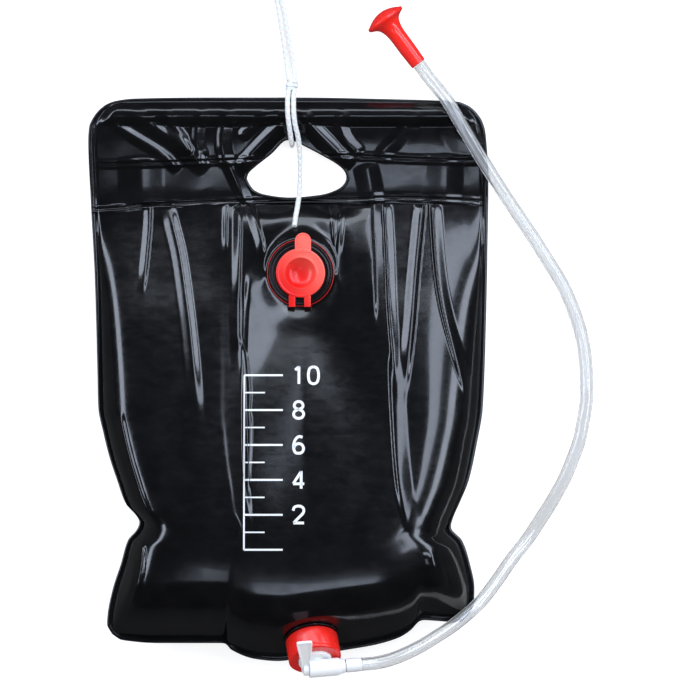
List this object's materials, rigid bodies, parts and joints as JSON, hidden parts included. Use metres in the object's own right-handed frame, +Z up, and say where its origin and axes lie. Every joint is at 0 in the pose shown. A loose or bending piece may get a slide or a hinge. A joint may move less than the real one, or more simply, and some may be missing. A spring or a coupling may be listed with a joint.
{
  "type": "camp shower bag",
  "caption": "Filled camp shower bag lying on its back: black film with a hem bar, handle hole, tethered filler lid, screw-on tap with lever, clear hose, spray head and rope loop.",
  "frame": {"origin": "middle of the flat back that the filled bag lies on", "axes": "+Z is up out of the front, +Y runs up the bag from the outlet to the hanging end, +X is across it towards the hose's side"},
  "size_m": [0.3951, 0.5636, 0.0895],
  "materials": {
    "front_film": "glossy black film",
    "back_film": "black film",
    "bar": "plain moulded",
    "filler_black": "moulded, slightly glossy",
    "tether_red": "soft moulded",
    "lid_red": "soft moulded, slightly translucent",
    "spout_black": "moulded",
    "gasket_rubber": "matt",
    "nut_red": "moulded, glossy",
    "tap_white": "moulded, satin",
    "plug_white": "moulded, satin",
    "seal_rubber": "matt",
    "hose_clear": "clear tube",
    "head_red": "moulded, glossy",
    "rose_red": "moulded, glossy",
    "rope_white": "braided cord"
  },
  "bodies": {
    "bag": {"front_panel": "front_film", "back_panel": "back_film", "hanger_bar": "bar", "filler_neck": "filler_black", "tether_ring": "tether_red", "outlet_spout": "spout_black", "outlet_gasket": "gasket_rubber", "shower_hose": "hose_clear", "shower_head": "head_red", "rose_plate": "rose_red", "rope_loop": "rope_white", "rope_wrap": "rope_white", "rope_tail": "rope_white", "rope_knot": "rope_white"},
    "filler_cap": {"filler_lid": "lid_red"},
    "tap": {"tap_body": "tap_white"},
    "nut": {"union_nut": "nut_red"},
    "lever": {"tap_plug": "plug_white", "plug_seal_1": "seal_rubber", "plug_seal_2": "seal_rubber"}
  },
  "joints": [
    {"name": "lid_swing", "type": "hinge", "parent": "bag", "child": "filler_cap", "pos_m": [0.0096, 0.05685, 0.02845], "axis": [1, 0, 0], "range_deg": [0, 125]},
    {"name": "tap_travel", "type": "slide", "parent": "bag", "child": "tap", "axis": [0.1462, -0.8354, 0.5299], "range_m": [0, 0.008]},
    {"name": "nut_turn", "type": "hinge", "parent": "tap", "child": "nut", "pos_m": [0.01804, -0.20071, 0.04917], "axis": [0.1462, -0.8354, 0.5299], "range_deg": [0, 720]},
    {"name": "lever_turn", "type": "hinge", "parent": "tap", "child": "lever", "pos_m": [0.02219, -0.22443, 0.06422], "axis": [0.9863, 0.0819, -0.1429], "range_deg": [0, 90]}
  ],
  "couplings": [
    {"joint": "nut_turn", "follows": "tap_travel", "rad_per_m": 1570.8}
  ]
}
